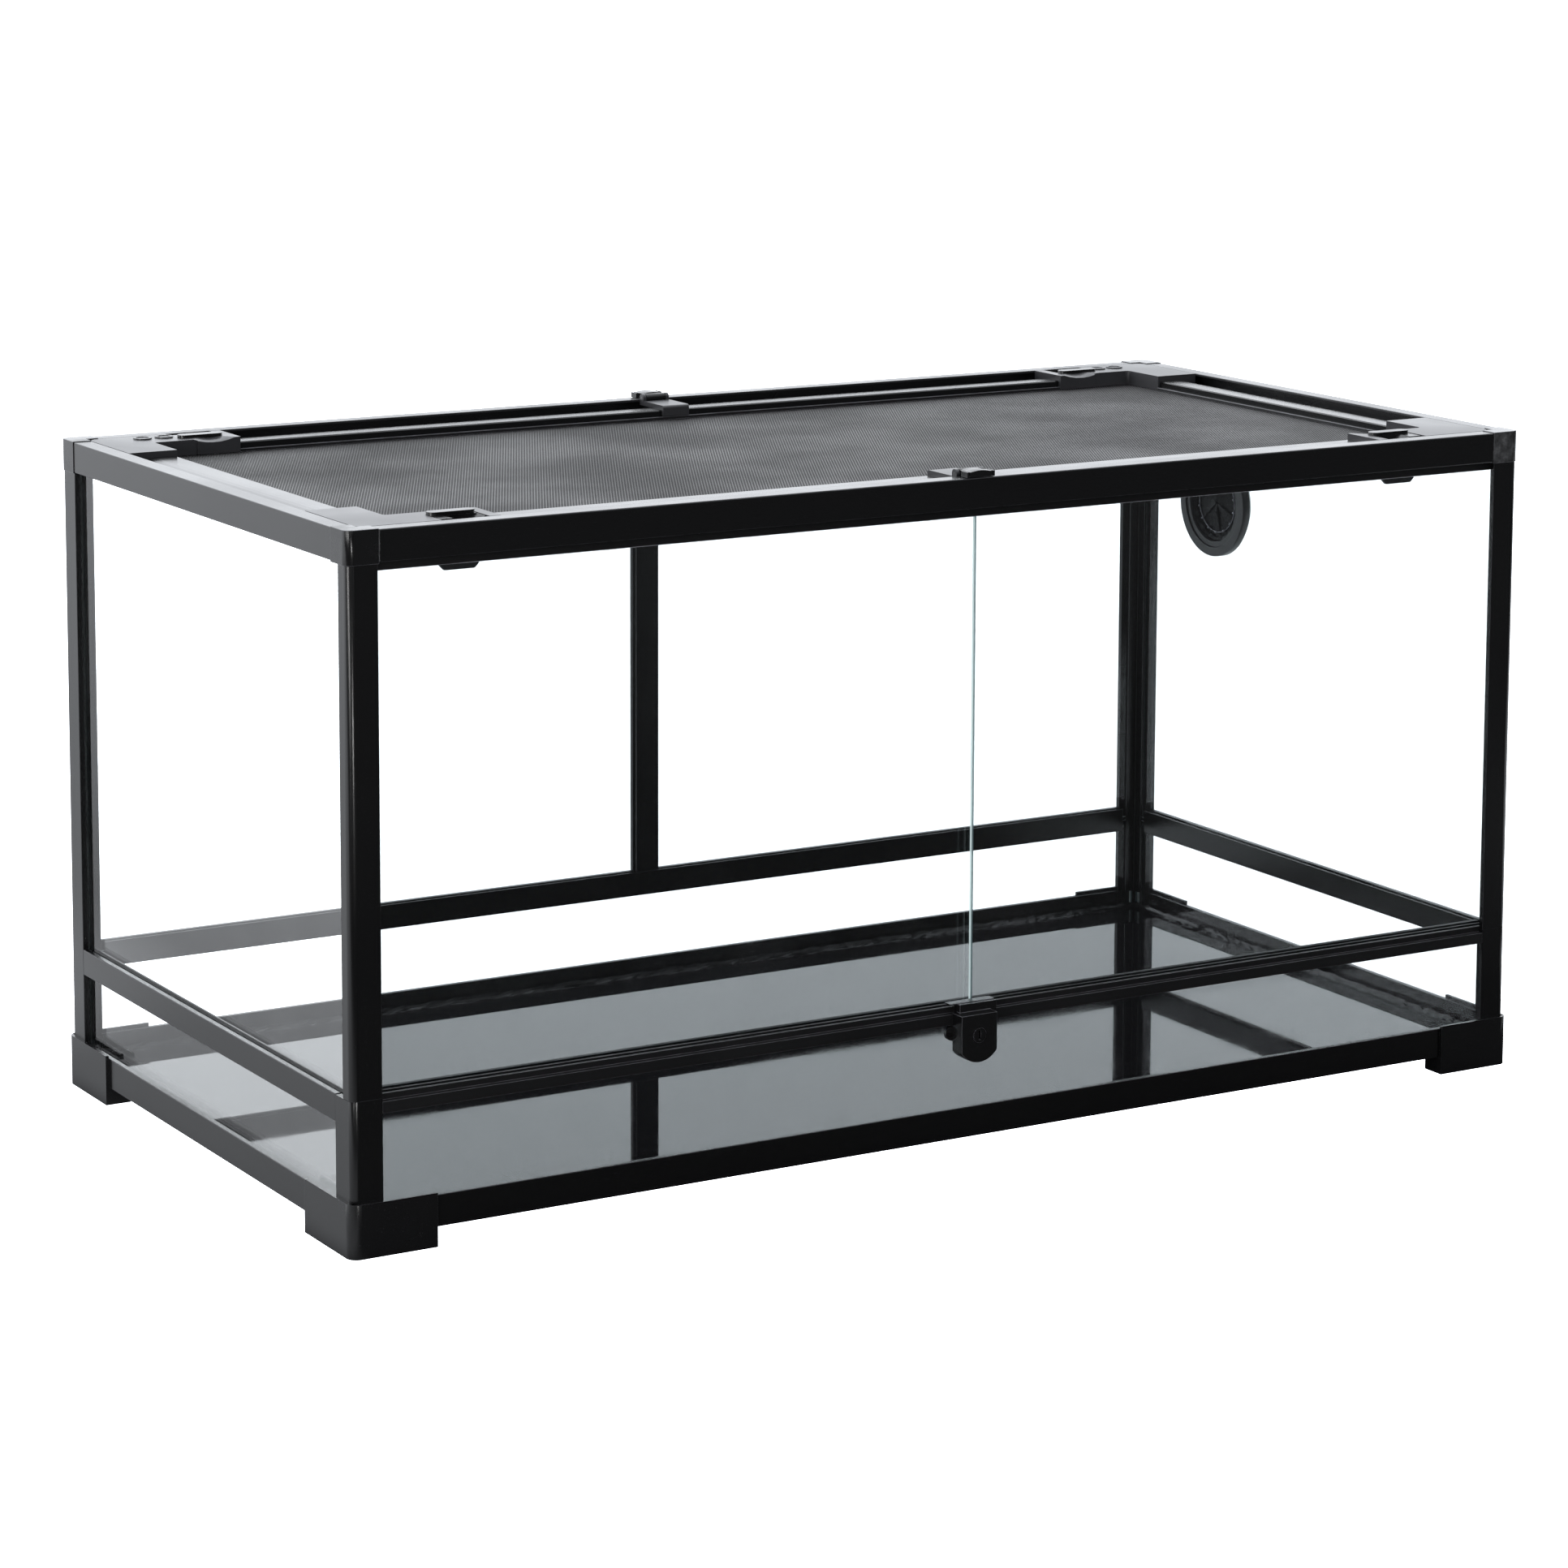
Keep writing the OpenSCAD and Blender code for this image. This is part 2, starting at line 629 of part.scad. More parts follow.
// Plain grid that stands for the woven wire
module lid_mesh() color([0.12, 0.12, 0.13]) place() {
    edge = rebate_in + 0.3;
    inner = corner_inner + 2;
    bar = 6;
    cell_x = (frame_w - 2 * inner + bar) / mesh_cells_x;
    cell_y = (frame_d - 2 * inner + bar) / mesh_cells_y;
    translate([0, 0, mesh_z]) linear_extrude(mesh_t) difference() {
        flat([edge, edge], [frame_w - edge, frame_d - edge]);
        for (i = [0:mesh_cells_x - 1], j = [0:mesh_cells_y - 1])
            translate([inner + i * cell_x, inner + j * cell_y]) square([cell_x - bar, cell_y - bar]);
    }
}

module lid_spline() color(plastic_col) {
    spline_h = 2.4;
    for (back = [0, 1]) place(0, back) block([arm_x, lid_inner + 0.1, mesh_z + mesh_t],
        [frame_w - arm_x, lid_inner + 0.1 + spline_w, mesh_z + mesh_t + spline_h]);
    for (right = [0, 1]) place(right, 0) block([lid_inner + 0.1, arm_y, mesh_z + mesh_t],
        [lid_inner + 0.1 + spline_w, frame_d - arm_y, mesh_z + mesh_t + spline_h]);
}

// ---- lid clips ---------------------------------------------------------------------------

module at_clip(back) place(0, back) translate([frame_w / 2 + clip_off, 0, 0]) children();

// A hinge barrel between x0 and x1
module barrel(x0, x1) translate([x0, axis_in, axis_z]) rotate([0, 90, 0]) cylinder(r = barrel_r, h = x1 - x0);

module pin_bore() translate([-clip_w, axis_in, axis_z]) rotate([0, 90, 0])
    cylinder(r = pin_r + pin_gap, h = 2 * clip_w);

// Profile of a clip arm: thin under the hinge, thick over the lid rail, with a nose on its inner side
module arm_profile() {
    thick_from = axis_in + barrel_r + 0.4;
    nose_in = lid_inner + 0.4;
    nose_t = 2.4;
    nose_r = 2;
    nose_z = clip_z - 4.4;
    thick_z = clip_z + clip_arm_t;
    flat([lid_in + 0.3, clip_z], [nose_in, clip_z + clip_t]);
    flat([thick_from, clip_z], [nose_in + nose_t - nose_r, thick_z]);
    flat([nose_in, nose_z], [nose_in + nose_t, thick_z - nose_r]);
    translate([nose_in + nose_t - nose_r, thick_z - nose_r]) circle(nose_r);
}

module clip_arms() color(plastic_col) for (back = [0, 1]) at_clip(back) difference() {
    union() {
        along_x(-clip_w / 2, clip_w / 2) arm_profile();
        for (s = [-1, 1]) {
            x0 = min(s * (knuckle_in + 0.3), s * clip_w / 2);
            knuckle_w = clip_w / 2 - knuckle_in - 0.3;
            barrel(x0, x0 + knuckle_w);
            block([x0, lid_in + 0.3, clip_z], [x0 + knuckle_w, axis_in + barrel_r, axis_z]);
        }
    }
    pin_bore();
}

module clip_pins() color(steel_col) for (back = [0, 1]) at_clip(back)
    translate([-clip_w / 2, axis_in, axis_z]) rotate([0, 90, 0]) cylinder(r = pin_r, h = clip_w);

// A lever whose knob is an arched bar between two thin ears
module clip_lever(back) color(plastic_col) at_clip(back) {
    under = frame_h + 0.3;
    knob_out = 0.2;
    ear_in = 8;
    ear_h = 4;
    ear_t = 1;
    slit = 1.1;
    arch_r = 30;
    difference() {
        union() {
            barrel(-knuckle_in, knuckle_in);
            block([-knuckle_in, knob_out + 2, under], [knuckle_in, axis_in, axis_z + barrel_r - 0.6]);
            block([-clip_w / 2, knob_out, under], [clip_w / 2, ear_in, frame_h + ear_h]);
            intersection() {
                block([-clip_w / 2, knob_out, under], [clip_w / 2, axis_in - barrel_r, frame_h + lever_h]);
                translate([0, 0, frame_h + lever_h - arch_r]) rotate([-90, 0, 0])
                    cylinder(r = arch_r, h = axis_in, $fn = 128);
            }
        }
        for (s = [-1, 1]) translate([s * (clip_w / 2 - ear_t - slit / 2), 0, 0])
            block([-slit / 2, -1, under + 1.2], [slit / 2, axis_in, frame_h + lever_h + 1]);
        for (s = [0, 1]) mirror([s, 0, 0])
            block([knuckle_in, ear_in, frame_h], [clip_w / 2 + 1, axis_in, frame_h + lever_h + 1]);
        pin_bore();
    }
}

// ---- nodes -----------------------------------------------------------------------------

base_rail_x(0);  // base_rail_front
base_rail_x(1);  // base_rail_back
base_rail_y(0);  // base_rail_left
base_rail_y(1);  // base_rail_right
foot(0, 0);  // foot_front_left
foot(1, 0);  // foot_front_right
foot(0, 1);  // foot_back_left
foot(1, 1);  // foot_back_right
lower_post(0);  // lower_post_left
lower_post(1);  // lower_post_right
front_post(0);  // front_post_left
front_post(1);  // front_post_right
back_post(0);  // back_post_left
back_post(1);  // back_post_right
lower_door_track();
upper_door_track();
mid_rail_y(0);  // mid_rail_left
mid_rail_y(1);  // mid_rail_right
mid_rail_back();
back_mullion();
top_rail_x(0);  // top_rail_front
top_rail_x(1);  // top_rail_back
top_rail_y(0);  // top_rail_left
top_rail_y(1);  // top_rail_right
top_connectors();
floor_pane();
pane_x(0, pane_end, frame_w - pane_end, floor_top, web_z + web_t - pane_gap);  // lower_pane_front
pane_x(1, pane_end, frame_w - pane_end, floor_top, web_z - pane_gap);  // lower_pane_back
pane_y(0, floor_top, web_z - pane_gap);  // lower_pane_left
pane_y(1, floor_top, web_z - pane_gap);  // lower_pane_right
pane_y(0, web_z + web_t + pane_gap, pane_top_z);  // upper_pane_left
upper_pane_right();
pane_x(1, pane_end, mullion_x - web_t / 2 - pane_gap, web_z + web_t + pane_gap, pane_top_z);  // upper_pane_back_left
pane_x(1, mullion_x + web_t / 2 + pane_gap, frame_w - pane_end, web_z + web_t + pane_gap, pane_top_z);  // upper_pane_back_right
door(door_end, meet_x + door_lap, slot2);  // left_door
door(meet_x, frame_w - door_end, slot1);  // right_door
lock_body();
lock_cylinder();
lock_cam();
port_ring();
port_membrane();
lid_rail_x(0);  // lid_rail_front
lid_rail_x(1);  // lid_rail_back
lid_rail_y(0);  // lid_rail_left
lid_rail_y(1);  // lid_rail_right
lid_corners();
lid_mesh();
lid_spline();
clip_arms();
clip_pins();
clip_lever(0);  // clip_lever_front
clip_lever(1);  // clip_lever_back
lid_button(0, 0);  // button_front_left
lid_button(1, 0);  // button_front_right
lid_button(0, 1);  // button_back_left
lid_button(1, 1);  // button_back_right
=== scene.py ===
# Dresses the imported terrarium: camera, studio, finishes, rounded edges, woven lid mesh, the
# membrane of the cable port and silicone beads. Lengths are in metres.
import math
import random

import bmesh
import bpy
from mathutils import Matrix, Vector


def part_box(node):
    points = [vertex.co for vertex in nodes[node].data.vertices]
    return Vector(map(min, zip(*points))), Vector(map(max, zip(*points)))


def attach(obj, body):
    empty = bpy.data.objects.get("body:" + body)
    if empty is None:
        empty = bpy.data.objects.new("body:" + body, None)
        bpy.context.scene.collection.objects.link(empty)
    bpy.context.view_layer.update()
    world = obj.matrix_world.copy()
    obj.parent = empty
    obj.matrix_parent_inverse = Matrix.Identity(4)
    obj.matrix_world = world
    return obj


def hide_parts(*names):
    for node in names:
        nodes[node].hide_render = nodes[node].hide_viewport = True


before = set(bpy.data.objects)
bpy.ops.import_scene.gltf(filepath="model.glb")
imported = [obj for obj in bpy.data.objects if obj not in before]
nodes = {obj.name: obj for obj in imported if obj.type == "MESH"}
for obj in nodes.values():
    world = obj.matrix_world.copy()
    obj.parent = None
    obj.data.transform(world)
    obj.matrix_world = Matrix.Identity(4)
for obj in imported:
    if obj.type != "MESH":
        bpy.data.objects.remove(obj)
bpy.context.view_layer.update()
MM = 0.001
X, Y, Z = 0, 1, 2

# ---- camera ---------------------------------------------------------------------------

CAM_PLACE = (-1.65774, -2.79888, 0.9209)
CAM_YAW, CAM_PITCH, CAM_ROLL = 0.531155, 0.141158, 0.003525
CAM_LENS = 107.556
CAM_SENSOR = 36
CAM_SHIFT = -0.22
CAM_CLIP = 0.05, 60


def add_camera():
    """Camera whose level axes are turned by yaw, pitch and roll."""
    yaw, pitch, roll = CAM_YAW, CAM_PITCH, CAM_ROLL
    level = math.cos(pitch)
    ahead = Vector((math.sin(yaw) * level, math.cos(yaw) * level, -math.sin(pitch)))
    flat_right = Vector((math.cos(yaw), -math.sin(yaw), 0))
    flat_up = flat_right.cross(ahead)
    right = flat_right * math.cos(roll) + flat_up * math.sin(roll)
    up = flat_up * math.cos(roll) - flat_right * math.sin(roll)
    data = bpy.data.cameras.new("camera")
    data.lens = CAM_LENS
    data.sensor_width = CAM_SENSOR
    data.shift_y = CAM_SHIFT
    data.clip_start, data.clip_end = CAM_CLIP
    cam = bpy.data.objects.new("camera", data)
    bpy.context.scene.collection.objects.link(cam)
    axes = Matrix((right, up, -ahead)).transposed().to_4x4()
    cam.matrix_world = Matrix.Translation(CAM_PLACE) @ axes
    bpy.context.scene.camera = cam


# ---- node helpers ----------------------------------------------------------------------

class Nodes:
    """Builds a node tree: add() sets a socket's value, or links it where the value is a socket."""

    def __init__(self, tree):
        self.tree = tree
        tree.nodes.clear()

    def add(self, kind, inputs=None, **settings):
        node = self.tree.nodes.new(kind)
        for key, value in settings.items():
            setattr(node, key, value)
        for key, value in (inputs or {}).items():
            if isinstance(value, bpy.types.NodeSocket):
                self.tree.links.new(value, node.inputs[key])
            else:
                node.inputs[key].default_value = value
        return node

    def math(self, operation, a, b=0.0, c=0.0):
        return self.add("ShaderNodeMath", {0: a, 1: b, 2: c}, operation=operation).outputs[0]

    def times(self, a, b):
        return self.math("MULTIPLY", a, b)

    def most(self, first, *others):
        """The largest of some values."""
        for other in others:
            first = self.math("MAXIMUM", first, other)
        return first

    def ramp(self, value, low, high, to_low=0.0, to_high=1.0):
        """Smooth step: to_low where the value is low, to_high where it is high."""
        return self.add("ShaderNodeMapRange", {
            "Value": value, "From Min": low, "From Max": high, "To Min": to_low, "To Max": to_high,
        }, interpolation_type="SMOOTHSTEP").outputs[0]

    def noise(self, place, scale, detail=2.0, roughness=0.5):
        return self.add("ShaderNodeTexNoise", {
            "Vector": place, "Scale": scale, "Detail": detail, "Roughness": roughness,
        }).outputs[0]

    def stretched(self, place, x, y, z):
        return self.add("ShaderNodeVectorMath", {
            0: place, 1: (x, y, z),
        }, operation="MULTIPLY").outputs[0]

    def split(self, place):
        """The x, y and z of a place."""
        return self.add("ShaderNodeSeparateXYZ", {0: place}).outputs

    def mix(self, share, a, b):
        return self.add("ShaderNodeMix", {0: share, 6: a, 7: b}, data_type="RGBA").outputs[2]

    def bump(self, height, strength, distance):
        return self.add("ShaderNodeBump", {
            "Height": height, "Strength": strength, "Distance": distance,
        }).outputs[0]

    def place(self):
        return self.add("ShaderNodeTexCoord").outputs["Object"]

    def seen(self):
        """One where the camera looks straight at the surface, none in reflections."""
        return self.add("ShaderNodeLightPath").outputs["Is Camera Ray"]

    def mix_shader(self, share, a, b):
        return self.add("ShaderNodeMixShader", {0: share, 1: a.outputs[0], 2: b.outputs[0]})

    def finish(self, shader):
        self.add("ShaderNodeOutputMaterial", {0: shader.outputs[0]})

    def surface(self, inputs):
        """Ends a material that is one principled surface."""
        self.finish(self.add("ShaderNodeBsdfPrincipled", inputs))


def new_material(name):
    material = bpy.data.materials.new(name)
    material.use_nodes = True
    return material, Nodes(material.node_tree)


def grey(value, tint=0.0):
    return (value, value, value * (1 + tint), 1)


# ---- studio ----------------------------------------------------------------------------

BACK_LOW, BACK_HIGH = 1.7, 2.25
SEEN_WHITE = 3.2
TINT = (0.955, 0.985, 1.03, 1)
FLOOR_SIZE = 14
FLOOR_PLACE = (0, 2.5, 0)
FLOOR_GREY = 0.04
FLOOR_SLANT = 0.59


def add_world():
    """White behind, stronger higher up, paler above, dark in front. Plain white to the camera."""
    world = bpy.data.worlds.new("studio")
    bpy.context.scene.world = world
    world.use_nodes = True
    n = Nodes(world.node_tree)
    way = n.split(n.add("ShaderNodeTexCoord").outputs["Generated"])
    rise = n.ramp(way[Z], 0.10, 0.28, BACK_LOW, BACK_HIGH)
    back = n.math("MULTIPLY_ADD", n.ramp(way[Y], -0.1, 0.4), rise, 0.012)
    front = n.ramp(way[Z], 0.10, 0.45, 0.0, 0.5)
    above = n.ramp(way[Z], 0.5, 0.9, 0.0, 1.6)
    strength = n.most(back, front, above, n.times(n.seen(), SEEN_WHITE))
    light = n.add("ShaderNodeBackground", {"Color": TINT, "Strength": strength})
    n.add("ShaderNodeOutputWorld", {0: light.outputs[0]})


def add_floor():
    """Pale table: plain white to the camera. Reflections see patches of glow around the object,
    each a smooth step or two over x and y, and a dark table between them and the object."""
    bpy.ops.mesh.primitive_plane_add(size=FLOOR_SIZE, location=FLOOR_PLACE)
    floor = bpy.context.object
    floor.name = "floor"
    material, n = new_material("pale_floor")
    spot = n.split(n.add("ShaderNodeNewGeometry").outputs["Position"])
    x, y = spot[X], spot[Y]
    behind = n.times(n.ramp(y, 0.05, 0.6, 0.01, 1.2), n.ramp(x, -0.9, -0.45))
    left = n.math("ADD", n.ramp(x, -0.45, -0.95, 0.50, 0.80), n.ramp(x, -0.9, -2.2, 0.0, 0.5))
    left = n.times(n.times(left, n.ramp(x, -0.44, -0.48)), n.ramp(y, -0.5, -0.2))
    slant = n.math("MULTIPLY_ADD", y, FLOOR_SLANT, x)
    right = n.times(n.ramp(slant, 0.42, 0.66, 0.0, 1.2), n.ramp(y, -0.95, -0.55))
    front = n.ramp(y, -0.9, -2.4, 0.0, 0.06)
    strength = n.most(behind, left, right, front, n.times(n.seen(), SEEN_WHITE))
    glow = n.add("ShaderNodeEmission", {"Color": TINT, "Strength": strength})
    base = n.add("ShaderNodeBsdfDiffuse", {"Color": grey(FLOOR_GREY)})
    n.finish(n.add("ShaderNodeAddShader", {0: glow.outputs[0], 1: base.outputs[0]}))
    floor.data.materials.append(material)


def add_light(name, place, aim, width, height, power):
    """A rectangular lamp that shows in reflections and not to the camera."""
    data = bpy.data.lights.new(name, "AREA")
    data.shape = "RECTANGLE"
    data.size, data.size_y = width, height
    data.energy = power
    light = bpy.data.objects.new(name, data)
    bpy.context.scene.collection.objects.link(light)
    light.location = place
    light.rotation_euler = (Vector(aim) - Vector(place)).to_track_quat("-Z", "Z").to_euler()
    light.visible_camera = False


# ---- materials -------------------------------------------------------------------------

GLASS_INDEX = 1.5
BLACK_GLASS_INDEX = 1.58
PLASTIC_INDEX = 1.55
EDGE_INDEX = 1.5
MEMBRANE_INDEX = 1.18
FINE_BUMP = 0.0002
PAINT_GRAIN, MOULD_GRAIN = 2600.0, 1500.0
SCRATCH_GREY = 0.25
GRAIN = {"strength": 0.12, "distance": FINE_BUMP}
DOOR_EDGE_PAINTED_GLOW = 0.32
EDGE_COVER = 0.7


def black_finish(name, base, rough, grain, wear, index=PLASTIC_INDEX):
    """Satin black: fine grain, cloudy gloss, sparse dust and hairline scratches."""
    material, n = new_material(name)
    at = n.place()
    cloud = n.noise(at, 9.0, 3.0)
    speck = n.noise(at, 900.0, 1.0)
    scratch = n.noise(n.stretched(at, 60.0, 60.0, 900.0), 1.0, 2.0, 0.7)
    dust = n.times(n.ramp(speck, 0.70, 0.78), wear)
    hair = n.times(n.ramp(scratch, 0.72, 0.80), wear * 0.5)
    n.surface({
        "Base Color": n.mix(n.most(dust, hair), grey(base, 0.08), grey(SCRATCH_GREY)),
        "Roughness": n.ramp(cloud, 0.3, 0.7, rough * 0.85, rough * 1.2),
        "Normal": n.bump(n.noise(at, grain, 2.0, 0.6), **GRAIN),
        "IOR": index,
    })
    return material


def clear_glass(name, tint, haze):
    """Clear pane: mirrors at a slant, lets the rest through, with faint smears."""
    material, n = new_material(name)
    smear = n.noise(n.stretched(n.place(), 1.0, 1.0, 0.35), 14.0, 4.0, 0.6)
    clear = n.add("ShaderNodeBsdfTransparent", {"Color": tint})
    mirror = n.add("ShaderNodeBsdfGlossy", {"Color": grey(1.0), "Roughness": 0.0})
    inner = n.add("ShaderNodeNewGeometry").outputs["Backfacing"]
    index = n.math("MULTIPLY_ADD", inner, 1 / GLASS_INDEX - GLASS_INDEX, GLASS_INDEX)
    fresnel = n.add("ShaderNodeFresnel", {"IOR": index}).outputs[0]
    pane = n.mix_shader(fresnel, clear, mirror)
    film = n.add("ShaderNodeBsdfDiffuse", {"Color": grey(0.8)})
    n.finish(n.mix_shader(n.ramp(smear, 0.45, 0.8, 0.0, haze), pane, film))
    return material


def glass_edge(name, axis, low, high):
    """Cut edge of a pane: blue-grey on one side of its thickness and painted pale on the other, a
    painted highlight; on a door that pale side also glows, a painted highlight."""
    material, n = new_material("edge_" + name)
    at = n.place()
    # Share of the pale side of the edge, a painted highlight.
    share = n.ramp(n.split(at)[axis], low + (high - low) * 0.30, low + (high - low) * 0.60)
    dark = n.mix(n.noise(at, 120.0, 3.0), (0.10, 0.15, 0.17, 1), (0.20, 0.28, 0.29, 1))
    surface = n.add("ShaderNodeBsdfPrincipled", {
        "Base Color": n.mix(share, dark, (0.78, 0.88, 0.87, 1)),
        "Roughness": 0.25,
        "IOR": GLASS_INDEX,
        "Emission Color": (0.75, 0.9, 0.9, 1),
        "Emission Strength": n.times(share, DOOR_EDGE_PAINTED_GLOW) if name.endswith("_door") else 0.0,
    })
    clear = n.add("ShaderNodeBsdfTransparent", {"Color": (0.85, 0.94, 0.93, 1)})
    n.finish(n.mix_shader(EDGE_COVER, clear, surface))
    return material


def floor_glass():
    """Black glass that mirrors the studio, with wiping marks and a few specks."""
    material, n = new_material("floor_glass")
    at = n.place()
    smear = n.noise(n.stretched(at, 1.0, 2.5, 1.0), 7.0, 5.0, 0.65)
    speck = n.ramp(n.noise(at, 700.0, 1.0), 0.72, 0.8)
    n.surface({
        "Base Color": n.mix(n.times(speck, 0.3), grey(0.006, 0.2), grey(0.35)),
        "Roughness": n.ramp(smear, 0.4, 0.75, 0.02, 0.07),
        "IOR": BLACK_GLASS_INDEX,
    })
    return material


def membrane_rubber():
    """Soft dark rubber with little mirror, cloudy where it was handled."""
    material, n = new_material("membrane_rubber")
    at = n.place()
    cloud = n.noise(at, 140.0, 3.0)
    n.surface({
        "Base Color": n.mix(cloud, grey(0.004, 0.1), grey(0.011, 0.1)),
        "Roughness": n.ramp(cloud, 0.3, 0.7, 0.2, 0.35),
        "Normal": n.bump(n.noise(at, 500.0), 0.2, FINE_BUMP),
        "IOR": MEMBRANE_INDEX,
    })
    return material


def connector_plastic():
    """Moulding of the corner connectors, its roughness uneven in patches; on the front right one
    the patches are painted grey, a painted highlight.
    """
    material, n = new_material("connector_plastic")
    at = n.place()
    spot = n.split(at)
    highlight_and_rough_patch = n.ramp(n.noise(at, 55.0, 4.0, 0.6), 0.36, 0.66, 0.15, 1.0)
    # The front right corner, where the patches are painted grey as a painted highlight.
    corner = n.times(n.ramp(spot[X], 0.40, 0.43), n.ramp(spot[Y], -0.15, -0.2))
    n.surface({
        "Base Color": n.mix(n.times(highlight_and_rough_patch, corner), grey(0.006, 0.08), grey(0.17, 0.02)),
        "Roughness": n.ramp(highlight_and_rough_patch, 0.25, 1.0, 0.2, 0.32),
        "Normal": n.bump(n.noise(at, MOULD_GRAIN, 2.0, 0.6), **GRAIN),
        "IOR": PLASTIC_INDEX,
    })
    return material


def painted_edge_highlight(name, base, rough):
    """Rounded edge painted lighter than its finish, a painted highlight, uneven in patches."""
    material, n = new_material(name)
    highlight_patchiness = n.ramp(n.noise(n.place(), 60.0, 4.0, 0.6), 0.35, 0.65)
    n.surface({
        "Base Color": n.mix(highlight_patchiness, grey(base * 0.5, 0.1), grey(base, 0.1)),
        "Roughness": rough,
        "IOR": EDGE_INDEX,
    })
    return material


def steel():
    """Dark steel with fine lines along its height."""
    material, n = new_material("dark_steel")
    lines = n.noise(n.stretched(n.place(), 1.0, 1.0, 30.0), 90.0, 3.0)
    n.surface({
        "Base Color": n.mix(lines, grey(0.10), grey(0.22)),
        "Roughness": n.ramp(lines, 0.3, 0.7, 0.25, 0.4),
        "Metallic": 1.0,
    })
    return material


# A black finish has a base grey, a roughness, the scale of its grain and a share of dust.
FRAME_PAINT = black_finish("frame_paint", 0.004, 0.22, PAINT_GRAIN, 0.04)
PLASTIC = black_finish("black_plastic", 0.006, 0.24, MOULD_GRAIN, 0.05)
# The lid's plastic is a lighter grey than the other blacks: painted light on its lit faces.
LID_PLASTIC_PAINTED_LIT = black_finish("lid_plastic", 0.042, 0.34, MOULD_GRAIN, 0.06)
TRACK_PLASTIC = black_finish("track_plastic", 0.009, 0.5, MOULD_GRAIN, 0.05, 1.36)
# Paint of the back and right top rails, a lighter grey than the frame's: painted light. Its dust
# specks are like the other finishes'.
PAINT_PAINTED_LIT = black_finish("dusty_paint", 0.022, 0.28, PAINT_GRAIN, 0.05)
CONNECTOR = connector_plastic()
PORT_PLASTIC = black_finish("port_plastic", 0.04, 0.3, MOULD_GRAIN, 0.05)
RUBBER = black_finish("black_rubber", 0.006, 0.45, 900.0, 0.05)
MEMBRANE = membrane_rubber()
# Near white: painted highlight dots on the port's knobs and ridge, and on the lock cylinder's rim.
PALE_PAINTED_HIGHLIGHT = painted_edge_highlight("knob_plastic", 0.85, 0.16)
# Edge paints lighter than their finishes: painted highlights on rounded edges.
LIP_EDGE = painted_edge_highlight("lip_edge", 0.42, 0.28)
WIRE = black_finish("mesh_wire", 0.005, 0.5, 4000.0, 0.05)
SILICONE = black_finish("silicone", 0.010, 0.14, 160.0, 0.3)
# Painted highlights on rounded edges, lighter than the finishes they edge.
PAINT_EDGE = painted_edge_highlight("paint_edge", 0.03, 0.26)
TRACK_EDGE = painted_edge_highlight("track_edge", 0.10, 0.28)
PLASTIC_EDGE = painted_edge_highlight("plastic_edge", 0.11, 0.3)
CLEAR = clear_glass("clear_glass", (0.992, 0.998, 0.996, 1), 0.02)
FRONT_GLASS = clear_glass("front_glass", (0.715, 0.735, 0.740, 1), 0.006)
FLOOR_GLASS = floor_glass()
STEEL = steel()


# ---- what each CAD node wears ----------------------------------------------------------

FRONT_PANES = ("left_door", "right_door", "lower_pane_front")
PLAIN_NODES = ("floor_pane", "port_membrane")
# Start of a node's name, its finish, the lighter paint on its rounded edges (a painted highlight)
# and how wide those are in millimetres. The first row that fits is used.
DRESS = (
    ("floor_pane", FLOOR_GLASS, None, 0),
    ("foot_", PLASTIC, PLASTIC_EDGE, 0.45),
    ("clip_lever", PLASTIC, PLASTIC_EDGE, 0.3),
    ("button_", PLASTIC, PLASTIC_EDGE, 0.3),
    ("lock_body", PLASTIC, PLASTIC_EDGE, 0.3),
    # The lock cylinder's rim is painted near white, a painted highlight.
    ("lock_cylinder", PLASTIC, PALE_PAINTED_HIGHLIGHT, 0.3),
    ("lock_cam", STEEL, PLASTIC_EDGE, 0.3),
    ("clip_arms", LID_PLASTIC_PAINTED_LIT, PLASTIC_EDGE, 0.7),
    ("clip_pins", STEEL, PLASTIC_EDGE, 0.3),
    ("lid_corners", LID_PLASTIC_PAINTED_LIT, PLASTIC_EDGE, 0.7),
    ("lid_spline", RUBBER, PLASTIC_EDGE, 0.45),
    ("port_ring", PORT_PLASTIC, PLASTIC_EDGE, 1.1),
    ("port_membrane", RUBBER, None, 0),
    ("top_connectors", CONNECTOR, PLASTIC_EDGE, 0.35),
    ("upper_door_track", TRACK_PLASTIC, LIP_EDGE, 1.2),
    ("lower_door_track", TRACK_PLASTIC, TRACK_EDGE, 0.8),
    ("top_rail_front", FRAME_PAINT, PAINT_EDGE, 0.8),
    ("top_rail_back", PAINT_PAINTED_LIT, PAINT_EDGE, 0.45),
    ("top_rail_right", PAINT_PAINTED_LIT, PAINT_EDGE, 0.45),
    ("front_post", FRAME_PAINT, PAINT_EDGE, 0.35),
    ("back_post", FRAME_PAINT, PAINT_EDGE, 0.35),
    ("", FRAME_PAINT, PAINT_EDGE, 0.45),
)
# A clamped bevel is almost nothing on these nodes. Unclamped, it leaves their boxes as they are.
FREE_EDGES = ("top_connectors", "front_post", "back_post")
WELD_DISTANCE = 0.01 * MM
EDGE_ANGLE = math.radians(50)
SQUARE_TO_PANE = 0.9


def is_clear_pane(name):
    return name != "floor_pane" and ("pane" in name or name.endswith("_door"))


